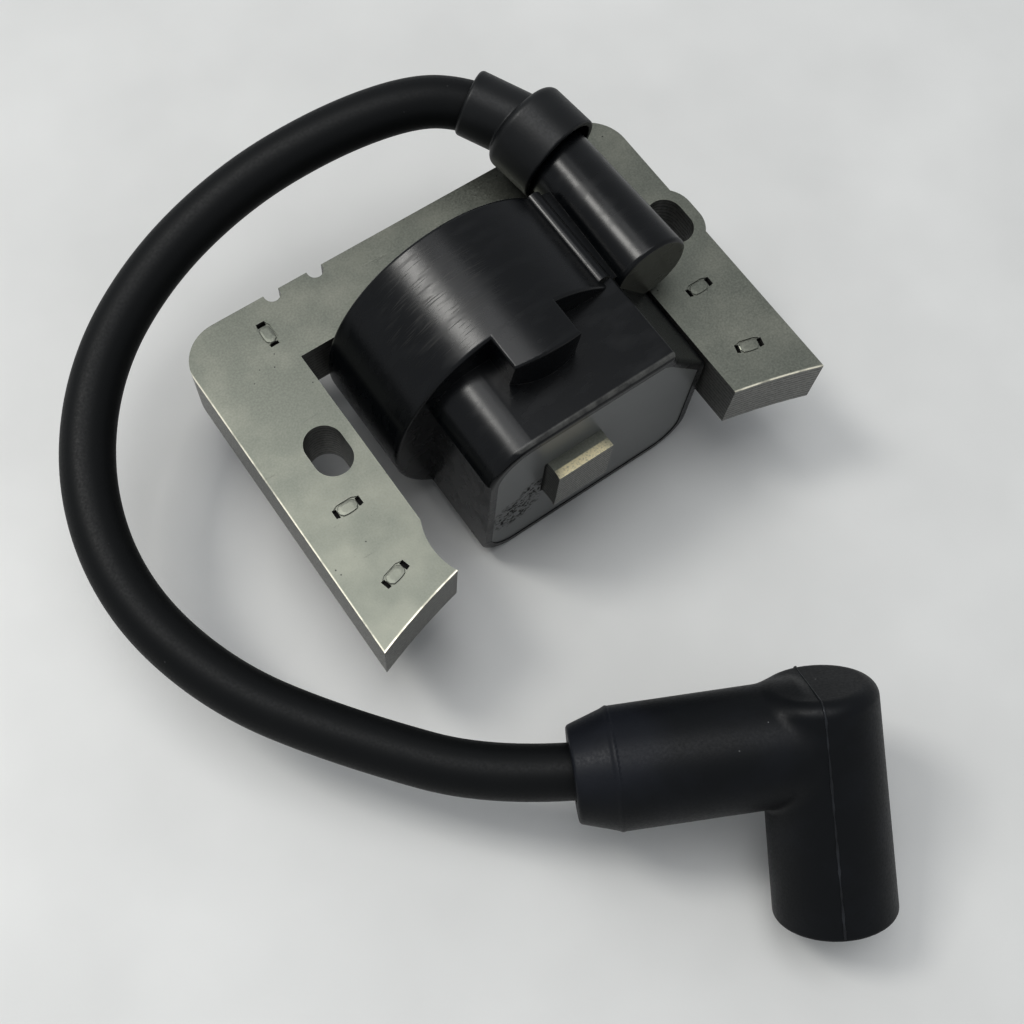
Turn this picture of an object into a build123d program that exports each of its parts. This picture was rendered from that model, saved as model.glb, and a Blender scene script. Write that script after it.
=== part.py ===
"""Ignition coil of a small engine: laminated core, potted coil case, lead and plug boot.

Frame: millimetres, +X along the core's yoke, +Y towards the yoke's back edge, +Z up.
The origin is on the core's mounting face (its underside), on the centre leg's middle
line, where the yoke's inner edge crosses it.
"""
import os
from math import pi, radians, tan

from build123d import *

os.makedirs("parts", exist_ok=True)

# ---------------------------------------------------------------- driving dimensions
# Laminated E-core
STACK = 9.0  # thickness of the whole stack
SHEET = 0.75  # one lamination
HALF_SPAN = 36.5  # middle line to each outer leg's outer edge
LEFT_INNER = -22.75  # inner edge of the left leg
RIGHT_INNER = 23.5  # inner edge of the right leg
LEG_FRONT = -44.0  # blank length of the legs, before the pole arc is cut
YOKE_BACK = 10.85
LEG_HALF = 4.7  # half the centre leg's width
LEG_TIP = -34.6  # the centre leg's end
POLE_RADIUS = 109.3  # flywheel radius plus the air gap
POLE_CENTRE = -144.4  # Y of the flywheel's axis
POLE_RELIEF = (-13.95, -33.2, 9.75)  # x, y, radius of the round cut in the left pole
CORNER = 6.2
SLOT_WIDTH = 5.5
SLOT_LENGTH = 7.8
SLOT_LEFT = (-27.3, -14.0)
SLOT_RIGHT = (33.2, -10.7)
LOBE_RADIUS = 4.5  # the ear round the right slot
NOTCH_X = (-20.9, -13.9)
NOTCH_RADIUS = 1.2
NOTCH_DEPTH = 1.55
DIMPLE = (4.1, 2.0, 0.2)  # length, width, depth of one interlock mark
DIMPLE_END = 1.1  # its width at either end
DIMPLE_SLIT = (0.6, 1.3, 0.7)  # length, width, depth of the slit at either end
DIMPLES = (  # x, y, turn in degrees
    (-24.7, 5.45, 90),
    (-29.6, -22.2, 0),
    (-29.6, -33.4, 15),
    (29.8, -21.7, 0),
    (29.8, -33.0, -15),
    (24.7, 5.45, 90),
)

# Coil case
WALL = 1.6
AXIS_Z = 4.8  # height of the barrel's axis
BARREL_RADIUS = 19.8
BARREL_BACK = -1.5
BARREL_FRONT = -18.7
TONGUE_HALF = 5.0
TONGUE_TOP = (-24.1, -24.5, -24.5)  # Y of its front edge at the left, middle and right
TONGUE_FOOT = (-23.1, -24.9, -23.9)  # the same where it meets the box
BASE_Z = -13.0  # underside of the case
BOX_LEFT = -14.2
BOX_RIGHT = 23.2
BOX_TOP = 18.5
BOX_FRONT = -31.95
BOX_BACK = BARREL_FRONT + 6  # the box runs this far into the barrel
BOX_SHOULDER = 7.0  # radius of the top left shoulder
BOX_CORNER = 6.0  # radius of the lower corners
BOX_SLOPE = ((15.7, 18.5), (16.9, 16.0), (23.2, 8.6))  # top right chamfer, x and z
BOX_EDGE = 0.8  # rounding of the box's front rim
BOX_RIDGE = 0.5  # rounding of the edges of its top right slope
BARREL_EDGE = 0.5
TONGUE_EDGE = 0.4
FACE_RECESS = 0.15  # potting below the case's rim
LIP_Z = 13.0  # the lip along the left wall
LIP = 0.5
LIP_BASE = -11.0

# Tower for the lead, beside the barrel
TOWER_X = 22.25
TOWER_Z = 15.3
TOWER_FRONT = -18.6
TOWER_BACK = 3.4
TOWER_RADIUS_FRONT = 6.0
TOWER_RADIUS_BACK = 5.2
NOSE_RADIUS = 4.7  # what the seal boot's skirt sits round
NOSE_BACK = 6.0
WEB = ((10, 10), (19.5, 10.2), (19.5, 17.0), (14.3, 18.2), (10, 17))  # x and z
WEB_FRONT = BARREL_FRONT + 1.2
RIB_AT = (14.3, 18.2)
RIB_RADIUS = 1.3
SPIKE_RADIUS = 1.0
SPIKE_FRONT = -15.0
LINK_AT = (-11.7, 14.3)  # y and z of the wire between secondary and spike
LINK_RADIUS = 0.8
LINK_LEFT = 11.2

# Windings
LEG_CLEAR = 0.05
BOBBIN_WALL = 1.15
FLANGE = 0.8
WINDING_BACK = BARREL_BACK - WALL
WINDING_FRONT = WINDING_BACK - 13.9
PRIMARY = (8.0, 7.8)  # half width and half height of the primary's flanges
SECONDARY_GAP = 1.1  # secondary bobbin's wall
BAYS = 4
SECONDARY_RADIUS = 14.8
FLANGE_RADIUS = 15.8
CHARGE_BACK = -18.8
CHARGE_SPLIT = -26.0  # charge winding behind, trigger winding in front
CHARGE_FRONT = -29.6
CHARGE = (9.2, 8.7)  # half width and half height of its flanges
CHARGE_FILL = 0.3  # charge winding below its flanges
TRIGGER_FILL = 1.6

# Electronics
BOARD = (30.6, 11.0, 1.2)
BOARD_AT = (4.5, -25.0)
BOARD_Z = -9.2  # the board's upper side
CAPACITOR = (9.6, 9.0, 11.0)
CAPACITOR_AT = (15.6, -25.0)
THYRISTOR_AT = (-8.0, -27.0)
THYRISTOR_RADIUS = 2.3
THYRISTOR_FLAT = 1.2  # centre to the package's flat side
THYRISTOR_HEIGHT = 4.2
DIODES_Y = (-21.5, -24.5)
DIODE_LEFT = -3.2
DIODE = (1.3, 5.2, 1.4)  # radius, length, axis above the board
RESISTOR_AT = (-2.4, -28.2)
RESISTOR = (1.1, 6.0, 1.2)
STRAP_Y = -30.2
STRAP_WIDTH = 3.0
STRAP_GAUGE = 0.4
STRAP_REACH = 1.4

# Plug boot: a right-angle elbow. CROSSING is where its two axes meet.
CROSSING = Vector(2.5, -81.0, 7.4)
BARREL_AXIS = Vector(-0.33, -0.75, -0.575).normalized()  # towards the open end
SLEEVE_AXIS = Vector(-0.882, 0.460, -0.094).normalized()  # towards the lead
BOOT_RADIUS = 7.5  # at the closed end
BOOT_MOUTH_RADIUS = 8.05
SLEEVE_RADIUS = 7.8
BOOT_ABOVE = 7.4  # crossing to the closed end
BOOT_BELOW = 24.0  # crossing to the open end
BOOT_CLOSED_EDGE = 2.0
BOOT_OPEN_EDGE = 0.5
BORE_LEAD_IN = 0.6  # chamfer at the mouth of the plug bore
SLEEVE_LENGTH = 31.5
SLEEVE_MOUTH_RADIUS = 6.1
SLEEVE_CHAMFER = 4.8
PLUG_BORE_RADIUS = 5.2
PLUG_BORE_TOP = 9.0  # crossing to the step where the clip's pocket starts
POCKET_TOP = 2.9  # crossing to the inside of the closed end
CLIP_OUTER = 4.0
CLIP_INNER = 3.3
CLIP_ABOVE = 1.6
CLIP_BELOW = 8.4
CLIP_ROOF = 0.7
SLIT_START = 2.0
SLIT_WIDTH = 1.0
NECK_RADIUS = 1.4
CRIMP_START = 8.0
CRIMP_RADIUS = 3.3
RUNNING = 0.05

# Lead
LEAD_RADIUS = 3.6
CONDUCTOR_RADIUS = 0.9
LEAD_IN_BOOT = 22.0  # crossing to the jacket's end
STRIPPED = 5.0  # bare conductor in the crimp
ROUTE = (
    (22.25, -1.0, 15.3),
    (22.25, 5.0, 15.3),
    (20.2, 11.3, 16.3),
    (16.1, 16.9, 17.8),
    (9.6, 20.8, 18.7),
    (-2.8, 23.8, 17.3),
    (-17.5, 25.0, 14.2),
    (-33.0, 21.8, 11.2),
    (-46.7, 13.4, 9.4),
    (-56.2, 0.0, 7.7),
    (-59.4, -15.8, 6.0),
    (-55.4, -32.0, 4.6),
    (-46.2, -46.0, 3.7),
)
LAST_CORNER = 39.3  # along the sleeve's axis, from the crossing

# Seal boot
SKIRT_AXIS = Vector(-0.19, 0.97, 0.14).normalized()
SKIRT_START = Vector(22.45, 3.0, 15.9)
SKIRT_LENGTH = 7.9
SKIRT_OUTER = 6.8
SKIRT_INNER = 5.95
SKIRT_EDGE = 1.2
SMALL_START = Vector(21.2, 10.2, 16.1)
SMALL_END = Vector(16.3, 16.8, 18.1)
SMALL_RADIUS = 4.75
SMALL_EDGE = 0.6


def finish(builder, label):
    """Label a finished piece and write it to its own STEP file."""
    builder.part.label = label
    export_step(builder.part, f"parts/{label}.step")
    solids = len(builder.part.solids())
    print(f"{label}: {solids} solid(s), {builder.part.volume / 1000:.3f} cm3")


def corner_radii(points):
    """Radius of each corner: as large as its two runs allow."""
    radii = []
    for before, here, after in zip(points, points[1:], points[2:]):
        run_in = here - before
        run_out = after - here
        turn = radians(run_in.get_angle(run_out))
        radii.append(0.45 * min(run_in.length, run_out.length) / tan(turn / 2))
    return radii


# ---------------------------------------------------------------- laminated core
def core_sheet(bottom, thickness):
    """One slab of the core's outline, from the height bottom upwards."""
    ear_length = SLOT_LENGTH + 2 * LOBE_RADIUS - SLOT_WIDTH
    with BuildPart() as slab:
        with BuildSketch(Plane.XY.offset(bottom)):
            with Locations((0, YOKE_BACK / 2)):
                Rectangle(2 * HALF_SPAN, YOKE_BACK)
            for inner, outer in ((LEFT_INNER, -HALF_SPAN), (RIGHT_INNER, HALF_SPAN)):
                with Locations(((inner + outer) / 2, LEG_FRONT / 2)):
                    Rectangle(abs(outer - inner), -LEG_FRONT)
            with Locations((0, LEG_TIP / 2)):
                Rectangle(2 * LEG_HALF, -LEG_TIP)
            with Locations(SLOT_RIGHT):
                SlotOverall(ear_length, 2 * LOBE_RADIUS, 90)
            with Locations((0, POLE_CENTRE)):
                Circle(POLE_RADIUS, mode=Mode.SUBTRACT)
            with Locations(SLOT_LEFT, SLOT_RIGHT):
                SlotOverall(SLOT_LENGTH, SLOT_WIDTH, 90, mode=Mode.SUBTRACT)
            for x in NOTCH_X:
                with Locations((x, YOKE_BACK)):
                    SlotOverall(2 * NOTCH_DEPTH, 2 * NOTCH_RADIUS, 90, mode=Mode.SUBTRACT)
            with Locations(POLE_RELIEF[:2]):
                Circle(POLE_RELIEF[2], mode=Mode.SUBTRACT)
        extrude(amount=thickness)
        back_corners = slab.edges().filter_by(Axis.Z).group_by(Axis.Y)[-1].sort_by(Axis.X)
        fillet([back_corners[0], back_corners[-1]], CORNER)
    return slab


bottom_sheet = core_sheet(0, SHEET)
finish(bottom_sheet, "core_bottom_sheet")

core_stack = core_sheet(SHEET, STACK - 2 * SHEET)
finish(core_stack, "core_stack")

top_blank = core_sheet(STACK - SHEET, SHEET)
half_length = DIMPLE[0] / 2
half_width = DIMPLE[1] / 2
slit_at = half_length - DIMPLE_SLIT[0] / 2
with BuildPart() as top_sheet:
    add(top_blank.part)
    for x, y, turn in DIMPLES:
        mark = Plane(Location((x, y, STACK), (0, 0, turn)))
        with BuildSketch(mark):
            Polygon(
                (-half_length, -DIMPLE_END / 2),
                (-DIMPLE_END, -half_width),
                (DIMPLE_END, -half_width),
                (half_length, -DIMPLE_END / 2),
                (half_length, DIMPLE_END / 2),
                (DIMPLE_END, half_width),
                (-DIMPLE_END, half_width),
                (-half_length, DIMPLE_END / 2),
            )
        extrude(amount=-DIMPLE[2], mode=Mode.SUBTRACT)
        with BuildSketch(mark):
            with Locations((-slit_at, 0), (slit_at, 0)):
                Rectangle(DIMPLE_SLIT[0], DIMPLE_SLIT[1])
        extrude(amount=-DIMPLE_SLIT[2], mode=Mode.SUBTRACT)
finish(top_sheet, "core_top_sheet")

# ---------------------------------------------------------------- lead
lead_end = CROSSING + SLEEVE_AXIS * LEAD_IN_BOOT
conductor_end = CROSSING + SLEEVE_AXIS * (LEAD_IN_BOOT - STRIPPED)
route = [Vector(*point) for point in ROUTE] + [CROSSING + SLEEVE_AXIS * LAST_CORNER]
radii = corner_radii(route + [lead_end])
print("lead corner radii, mm:", [round(radius, 1) for radius in radii])


def swept_lead(end, radius):
    """Round rod along the lead's route, ending at the point end."""
    with BuildPart() as rod:
        with BuildLine():
            line = FilletPolyline(*route, end, radius=radii)
        with BuildSketch(Plane(origin=line @ 0, z_dir=line % 0)):
            Circle(radius)
        sweep()
    fullness = rod.part.volume / (pi * radius**2 * line.length)
    print(f"rod: length {line.length:.1f} mm, volume over section x length {fullness:.4f}")
    return rod


conductor = swept_lead(conductor_end, CONDUCTOR_RADIUS)
finish(conductor, "lead_conductor")

full_lead = swept_lead(lead_end, LEAD_RADIUS)
with BuildPart() as lead_jacket:
    add(full_lead.part)
    add(conductor.part, mode=Mode.SUBTRACT)
finish(lead_jacket, "lead_jacket")


# ---------------------------------------------------------------- coil case
def box_profile(inset):
    """Cross-section of the front box, seen along Y, drawn inset from its outside."""
    left = BOX_LEFT + inset
    right = BOX_RIGHT - inset
    top = BOX_TOP - inset
    base = BASE_Z + inset
    corner = BOX_CORNER - inset
    shoulder = BOX_SHOULDER - inset
    ridge, knee, foot = BOX_SLOPE
    with BuildSketch(Plane.XZ) as profile:
        with BuildLine():
            Line((left + corner, base), (right - corner, base))
            RadiusArc((right - corner, base), (right, base + corner), -corner)
            Line((right, base + corner), (right, foot[1]))
            Line((right, foot[1]), (knee[0] - inset, knee[1]))
            Line((knee[0] - inset, knee[1]), (ridge[0] - inset, top))
            Line((ridge[0] - inset, top), (left + shoulder, top))
            RadiusArc((left + shoulder, top), (left, top - shoulder), -shoulder)
            Line((left, top - shoulder), (left, base + corner))
            RadiusArc((left, base + corner), (left + corner, base), -corner)
        make_face()
    return profile.sketch


def along_y(sketch, back, front):
    """Extrude a profile drawn on the XZ plane from Y = back to Y = front."""
    with BuildPart(mode=Mode.PRIVATE) as prism:
        add(Pos(0, back, 0) * sketch)
        extrude(amount=back - front, dir=(0, -1, 0))
    return prism.part


def barrel_profile(radius, base):
    """Round cross-section of the barrel, cut flat at the height base."""
    with BuildSketch(Plane.XZ) as profile:
        with Locations((0, AXIS_Z)):
            Circle(radius)
        with Locations((0, base - radius)):
            Rectangle(4 * radius, 2 * radius, mode=Mode.SUBTRACT)
    return profile.sketch


def tongue_outline(height, front):
    """Plan of the tongue at one height, its front bowed through three points."""
    left, middle, right = front
    back = BARREL_FRONT + 2
    with BuildSketch(Plane.XY.offset(height)) as outline:
        with BuildLine():
            Polyline((-TONGUE_HALF, left), (-TONGUE_HALF, back), (TONGUE_HALF, back), (TONGUE_HALF, right))
            ThreePointArc((-TONGUE_HALF, left), (0, middle), (TONGUE_HALF, right))
        make_face()
    return outline.sketch


def rod_y(at, radius, back, front):
    """Round rod parallel to Y at the point (x, z), from Y = back to Y = front."""
    with BuildPart(mode=Mode.PRIVATE) as rod:
        with BuildSketch(Plane.XZ.offset(-back)):
            with Locations(at):
                Circle(radius)
        extrude(amount=back - front)
    return rod.part


tower_at = (TOWER_X, TOWER_Z)

with BuildPart() as tower:
    with BuildSketch(Plane.XZ.offset(-TOWER_BACK)):
        with Locations(tower_at):
            Circle(TOWER_RADIUS_BACK)
    with BuildSketch(Plane.XZ.offset(-TOWER_FRONT)):
        with Locations(tower_at):
            Circle(TOWER_RADIUS_FRONT)
    loft()
    fillet(tower.edges().sort_by(Axis.Y)[0], 0.6)
    add(rod_y(tower_at, NOSE_RADIUS, NOSE_BACK, TOWER_BACK))

with BuildPart() as front_box:
    add(along_y(box_profile(0), BOX_BACK, BOX_FRONT))
    ridges = [edge for edge in front_box.edges().filter_by(Axis.Y) if edge.center().X > 15]
    fillet([edge for edge in ridges if edge.center().Z > 0], BOX_RIDGE)
    fillet(front_box.faces().sort_by(Axis.Y)[0].edges(), BOX_EDGE)

with BuildPart() as tongue:
    add(tongue_outline(BOX_TOP - 0.5, TONGUE_FOOT))
    add(tongue_outline(AXIS_Z + BARREL_RADIUS + 1, TONGUE_TOP))
    loft()
    crown = barrel_profile(BARREL_RADIUS, 0)
    add(along_y(crown, BARREL_FRONT + 3, BOX_FRONT), mode=Mode.INTERSECT)
    fillet(tongue.faces().filter_by(GeomType.CYLINDER).sort_by(Axis.Z)[-1].edges(), TONGUE_EDGE)

with BuildPart() as outer_body:
    add(along_y(barrel_profile(BARREL_RADIUS, BASE_Z), BARREL_BACK, BARREL_FRONT))
    fillet(outer_body.faces().sort_by(Axis.Y)[-1].edges(), BARREL_EDGE)
    fillet(outer_body.faces().sort_by(Axis.Y)[0].edges(), BARREL_EDGE)
    add(front_box.part)
    add(tongue.part)
    add(tower.part)
    # the web that joins the tower to the barrel, and the round rib on it
    with BuildSketch(Plane.XZ.offset(-BARREL_BACK)):
        with BuildLine():
            Polyline(*WEB, close=True)
        make_face()
        with Locations(RIB_AT):
            Circle(RIB_RADIUS)
    extrude(amount=BARREL_BACK - WEB_FRONT)

with BuildPart() as cavity:
    inner_barrel = barrel_profile(BARREL_RADIUS - WALL, BASE_Z + WALL)
    add(along_y(inner_barrel, WINDING_BACK, BARREL_FRONT + WALL))
    add(along_y(box_profile(WALL), BOX_BACK - WALL, BOX_FRONT))

with BuildPart() as case_blank:
    add(outer_body.part)
    # the left wall is stepped back below the lip
    with Locations((BOX_LEFT, (BARREL_FRONT + BOX_FRONT) / 2, (LIP_Z + LIP_BASE) / 2)):
        Box(2 * LIP, BARREL_FRONT - BOX_FRONT + 0.01, LIP_Z - LIP_BASE, mode=Mode.SUBTRACT)
    add(cavity.part, mode=Mode.SUBTRACT)
    # passage for the centre leg through the back wall
    with Locations((0, WINDING_BACK, STACK / 2)):
        Box(2 * (LEG_HALF + LEG_CLEAR), 4 * WALL, STACK + 2 * LEG_CLEAR, mode=Mode.SUBTRACT)
    # the tower's bore for the lead, and the hole that holds the spike
    add(rod_y(tower_at, LEAD_RADIUS, NOSE_BACK, ROUTE[0][1]), mode=Mode.SUBTRACT)
    add(full_lead.part, mode=Mode.SUBTRACT)
    add(rod_y(tower_at, SPIKE_RADIUS, NOSE_BACK, SPIKE_FRONT), mode=Mode.SUBTRACT)


# ---------------------------------------------------------------- windings on the centre leg
def window(half_x, half_z, back, front):
    """Block centred on the leg's axis, from Y = back to Y = front."""
    with BuildPart(mode=Mode.PRIVATE) as block:
        with Locations((0, (back + front) / 2, STACK / 2)):
            Box(2 * half_x, back - front, 2 * half_z)
    return block.part


leg = (LEG_HALF + LEG_CLEAR, STACK / 2 + LEG_CLEAR)
tube = (leg[0] + BOBBIN_WALL, leg[1] + BOBBIN_WALL)
secondary_tube = (PRIMARY[0] + SECONDARY_GAP, PRIMARY[1] + SECONDARY_GAP)
bay_pitch = (WINDING_BACK - WINDING_FRONT - FLANGE) / BAYS
leg_axis = (0, STACK / 2)

with BuildPart() as primary_bobbin:
    add(window(*tube, WINDING_BACK, WINDING_FRONT))
    for back in (WINDING_BACK, WINDING_FRONT + FLANGE):
        add(window(*PRIMARY, back, back - FLANGE))
    add(window(*leg, WINDING_BACK + 1, WINDING_FRONT - 1), mode=Mode.SUBTRACT)
finish(primary_bobbin, "primary_bobbin")

with BuildPart() as primary_winding:
    add(window(*PRIMARY, WINDING_BACK - FLANGE, WINDING_FRONT + FLANGE))
    add(window(*tube, WINDING_BACK, WINDING_FRONT), mode=Mode.SUBTRACT)
finish(primary_winding, "primary_winding")

with BuildPart() as secondary_bobbin:
    add(window(*secondary_tube, WINDING_BACK, WINDING_FRONT))
    for step in range(BAYS + 1):
        back = WINDING_BACK - step * bay_pitch
        add(rod_y(leg_axis, FLANGE_RADIUS, back, back - FLANGE))
    add(window(*PRIMARY, WINDING_BACK + 1, WINDING_FRONT - 1), mode=Mode.SUBTRACT)
finish(secondary_bobbin, "secondary_bobbin")

with BuildPart() as secondary_winding:
    for step in range(BAYS):
        back = WINDING_BACK - step * bay_pitch - FLANGE
        add(rod_y(leg_axis, SECONDARY_RADIUS, back, back - bay_pitch + FLANGE))
    add(window(*secondary_tube, WINDING_BACK, WINDING_FRONT), mode=Mode.SUBTRACT)
finish(secondary_winding, "secondary_winding")

with BuildPart() as charge_bobbin:
    add(window(*tube, CHARGE_BACK, CHARGE_FRONT))
    for back in (CHARGE_BACK, CHARGE_SPLIT, CHARGE_FRONT + FLANGE):
        add(window(*CHARGE, back, back - FLANGE))
    add(window(*leg, CHARGE_BACK + 1, CHARGE_FRONT - 1), mode=Mode.SUBTRACT)
finish(charge_bobbin, "charge_bobbin")

charge_fill = (CHARGE[0] - CHARGE_FILL, CHARGE[1] - CHARGE_FILL)
with BuildPart() as charge_winding:
    add(window(*charge_fill, CHARGE_BACK - FLANGE, CHARGE_SPLIT))
    add(window(*tube, CHARGE_BACK, CHARGE_FRONT), mode=Mode.SUBTRACT)
finish(charge_winding, "charge_winding")

trigger_fill = (CHARGE[0] - TRIGGER_FILL, CHARGE[1] - TRIGGER_FILL)
with BuildPart() as trigger_winding:
    add(window(*trigger_fill, CHARGE_SPLIT - FLANGE, CHARGE_FRONT + FLANGE))
    add(window(*tube, CHARGE_BACK, CHARGE_FRONT), mode=Mode.SUBTRACT)
finish(trigger_winding, "trigger_winding")


# ---------------------------------------------------------------- electronics in the box
def rod_x(at, radius, left, length):
    """Round rod parallel to X at the point (y, z), starting at X = left."""
    with BuildPart(mode=Mode.PRIVATE) as rod:
        with BuildSketch(Plane.YZ.offset(left)):
            with Locations(at):
                Circle(radius)
        extrude(amount=length)
    return rod.part


with BuildPart() as circuit_board:
    with Locations((*BOARD_AT, BOARD_Z - BOARD[2] / 2)):
        Box(*BOARD)
    fillet(circuit_board.edges().filter_by(Axis.Z), 1.0)
finish(circuit_board, "circuit_board")

with BuildPart() as storage_capacitor:
    with Locations((*CAPACITOR_AT, BOARD_Z + CAPACITOR[2] / 2)):
        Box(*CAPACITOR)
    fillet(storage_capacitor.edges().filter_by(Axis.Z), 1.0)
    fillet(storage_capacitor.faces().sort_by(Axis.Z)[-1].edges(), 0.8)
finish(storage_capacitor, "storage_capacitor")

with BuildPart() as thyristor:
    with BuildSketch(Plane.XY.offset(BOARD_Z)):
        with Locations(THYRISTOR_AT):
            Circle(THYRISTOR_RADIUS)
        with Locations((THYRISTOR_AT[0], THYRISTOR_AT[1] - THYRISTOR_FLAT - THYRISTOR_RADIUS)):
            Rectangle(2 * THYRISTOR_RADIUS, 2 * THYRISTOR_RADIUS, mode=Mode.SUBTRACT)
    extrude(amount=THYRISTOR_HEIGHT)
finish(thyristor, "thyristor")

with BuildPart() as diodes:
    for y in DIODES_Y:
        add(rod_x((y, BOARD_Z + DIODE[2]), DIODE[0], DIODE_LEFT, DIODE[1]))
finish(diodes, "diodes")

with BuildPart() as trigger_resistor:
    add(rod_x((RESISTOR_AT[1], BOARD_Z + RESISTOR[2]), RESISTOR[0], RESISTOR_AT[0], RESISTOR[1]))
    fillet(trigger_resistor.edges().filter_by(GeomType.CIRCLE), 0.4)
finish(trigger_resistor, "trigger_resistor")

with BuildPart() as ground_strap:
    with BuildSketch(Plane.YZ.offset(-STRAP_WIDTH / 2)):
        with BuildLine():
            Polyline(
                (STRAP_Y, BOARD_Z),
                (STRAP_Y, 0),
                (STRAP_Y - STRAP_REACH, 0),
                (STRAP_Y - STRAP_REACH, -STRAP_GAUGE),
                (STRAP_Y - STRAP_GAUGE, -STRAP_GAUGE),
                (STRAP_Y - STRAP_GAUGE, BOARD_Z),
                close=True,
            )
        make_face()
    extrude(amount=STRAP_WIDTH)
finish(ground_strap, "ground_strap")

# ---------------------------------------------------------------- high-tension outlet
with BuildPart() as tower_spike:
    add(rod_y(tower_at, SPIKE_RADIUS, ROUTE[0][1], SPIKE_FRONT))
finish(tower_spike, "tower_spike")

with BuildPart() as high_tension_link:
    add(rod_x(LINK_AT, LINK_RADIUS, LINK_LEFT, TOWER_X - LINK_LEFT))
    add(tower_spike.part, mode=Mode.SUBTRACT)
    add(secondary_winding.part, mode=Mode.SUBTRACT)
finish(high_tension_link, "high_tension_link")

with BuildPart() as coil_case:
    add(case_blank.part)
    add(high_tension_link.part, mode=Mode.SUBTRACT)
finish(coil_case, "coil_case")

embedded = (
    primary_bobbin,
    primary_winding,
    secondary_bobbin,
    secondary_winding,
    charge_bobbin,
    charge_winding,
    trigger_winding,
    circuit_board,
    storage_capacitor,
    thyristor,
    diodes,
    trigger_resistor,
    ground_strap,
    high_tension_link,
)
with BuildPart() as potting:
    add(cavity.part)
    with Locations((0, BOX_FRONT - WALL + FACE_RECESS, 0)):
        Box(4 * BOX_RIGHT, 2 * WALL, 4 * BOX_RIGHT, mode=Mode.SUBTRACT)
    add(window(*leg, WINDING_BACK + 1, CHARGE_FRONT), mode=Mode.SUBTRACT)
    add(window(LEG_HALF, STACK / 2, CHARGE_FRONT + 1, BOX_FRONT - 1), mode=Mode.SUBTRACT)
    for piece in embedded:
        add(piece.part, mode=Mode.SUBTRACT)
finish(potting, "potting")

# ---------------------------------------------------------------- seal boot on the tower
skirt = Plane(origin=SKIRT_START, x_dir=(1, 0.2, 0), z_dir=SKIRT_AXIS)
small = Plane(origin=SMALL_START, x_dir=(1, 0.8, 0), z_dir=SMALL_END - SMALL_START)

with BuildPart() as seal_boot:
    with BuildSketch(skirt):
        Circle(SKIRT_OUTER)
    extrude(amount=SKIRT_LENGTH)
    fillet(seal_boot.faces().sort_by(Axis.Y)[-1].edges(), SKIRT_EDGE)
    with BuildSketch(small):
        Circle(SMALL_RADIUS)
    extrude(amount=(SMALL_END - SMALL_START).length)
    fillet(seal_boot.edges().filter_by(GeomType.CIRCLE).sort_by(Axis.X)[0], SMALL_EDGE)
    with BuildSketch(skirt.offset(-1)):
        Circle(SKIRT_INNER)
    extrude(amount=SKIRT_LENGTH - 0.5, mode=Mode.SUBTRACT)
    add(full_lead.part, mode=Mode.SUBTRACT)
finish(seal_boot, "seal_boot")

# ---------------------------------------------------------------- plug boot and its terminal
barrel_plane = Plane(origin=CROSSING, x_dir=SLEEVE_AXIS, z_dir=BARREL_AXIS)
sleeve_plane = Plane(origin=CROSSING, x_dir=BARREL_AXIS, z_dir=SLEEVE_AXIS)


def rod_in(plane, radius, start, end):
    """Round rod along the plane's normal, between two distances from the crossing."""
    with BuildPart(mode=Mode.PRIVATE) as rod:
        with BuildSketch(plane.offset(start)):
            Circle(radius)
        extrude(amount=end - start)
    return rod.part


with BuildPart() as plug_boot:
    with BuildSketch(barrel_plane.offset(-BOOT_ABOVE)):
        Circle(BOOT_RADIUS)
    with BuildSketch(barrel_plane.offset(BOOT_BELOW)):
        Circle(BOOT_MOUTH_RADIUS)
    loft()
    rims = plug_boot.edges().filter_by(GeomType.CIRCLE).sort_by(Axis.Z)
    fillet(rims[-1], BOOT_CLOSED_EDGE)
    rims = plug_boot.edges().filter_by(GeomType.CIRCLE).sort_by(Axis.Z)
    fillet(rims[0], BOOT_OPEN_EDGE)
    add(rod_in(sleeve_plane, SLEEVE_RADIUS, 0, SLEEVE_LENGTH - SLEEVE_CHAMFER))
    with BuildSketch(sleeve_plane.offset(SLEEVE_LENGTH - SLEEVE_CHAMFER)):
        Circle(SLEEVE_RADIUS)
    with BuildSketch(sleeve_plane.offset(SLEEVE_LENGTH)):
        Circle(SLEEVE_MOUTH_RADIUS)
    loft()
    add(rod_in(barrel_plane, CLIP_OUTER + RUNNING, -POCKET_TOP, PLUG_BORE_TOP), mode=Mode.SUBTRACT)
    add(rod_in(barrel_plane, PLUG_BORE_RADIUS, PLUG_BORE_TOP, BOOT_BELOW), mode=Mode.SUBTRACT)
    mouth = plug_boot.edges().filter_by(GeomType.CIRCLE).sort_by(Axis.Z)
    chamfer([edge for edge in mouth if abs(edge.radius - PLUG_BORE_RADIUS) < 0.01][0], BORE_LEAD_IN)
    add(rod_in(sleeve_plane, LEAD_RADIUS + RUNNING, 0, SLEEVE_LENGTH + 1), mode=Mode.SUBTRACT)
finish(plug_boot, "plug_boot")

with BuildPart() as plug_clip:
    add(rod_in(barrel_plane, CLIP_OUTER, -CLIP_ABOVE, CLIP_BELOW))
    clip_inside = rod_in(barrel_plane, CLIP_INNER, CLIP_ROOF - CLIP_ABOVE, CLIP_BELOW + 1)
    add(clip_inside, mode=Mode.SUBTRACT)
    # slits that make the socket's springing fingers
    for turn in (45, 135):
        with BuildSketch(barrel_plane.offset(SLIT_START)):
            Rectangle(3 * CLIP_OUTER, SLIT_WIDTH, rotation=turn)
        extrude(amount=CLIP_BELOW, mode=Mode.SUBTRACT)
    # neck that carries the socket from the crimp
    add(rod_in(sleeve_plane, NECK_RADIUS, CLIP_INNER + 0.1, CRIMP_START))
finish(plug_clip, "plug_clip")

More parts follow.
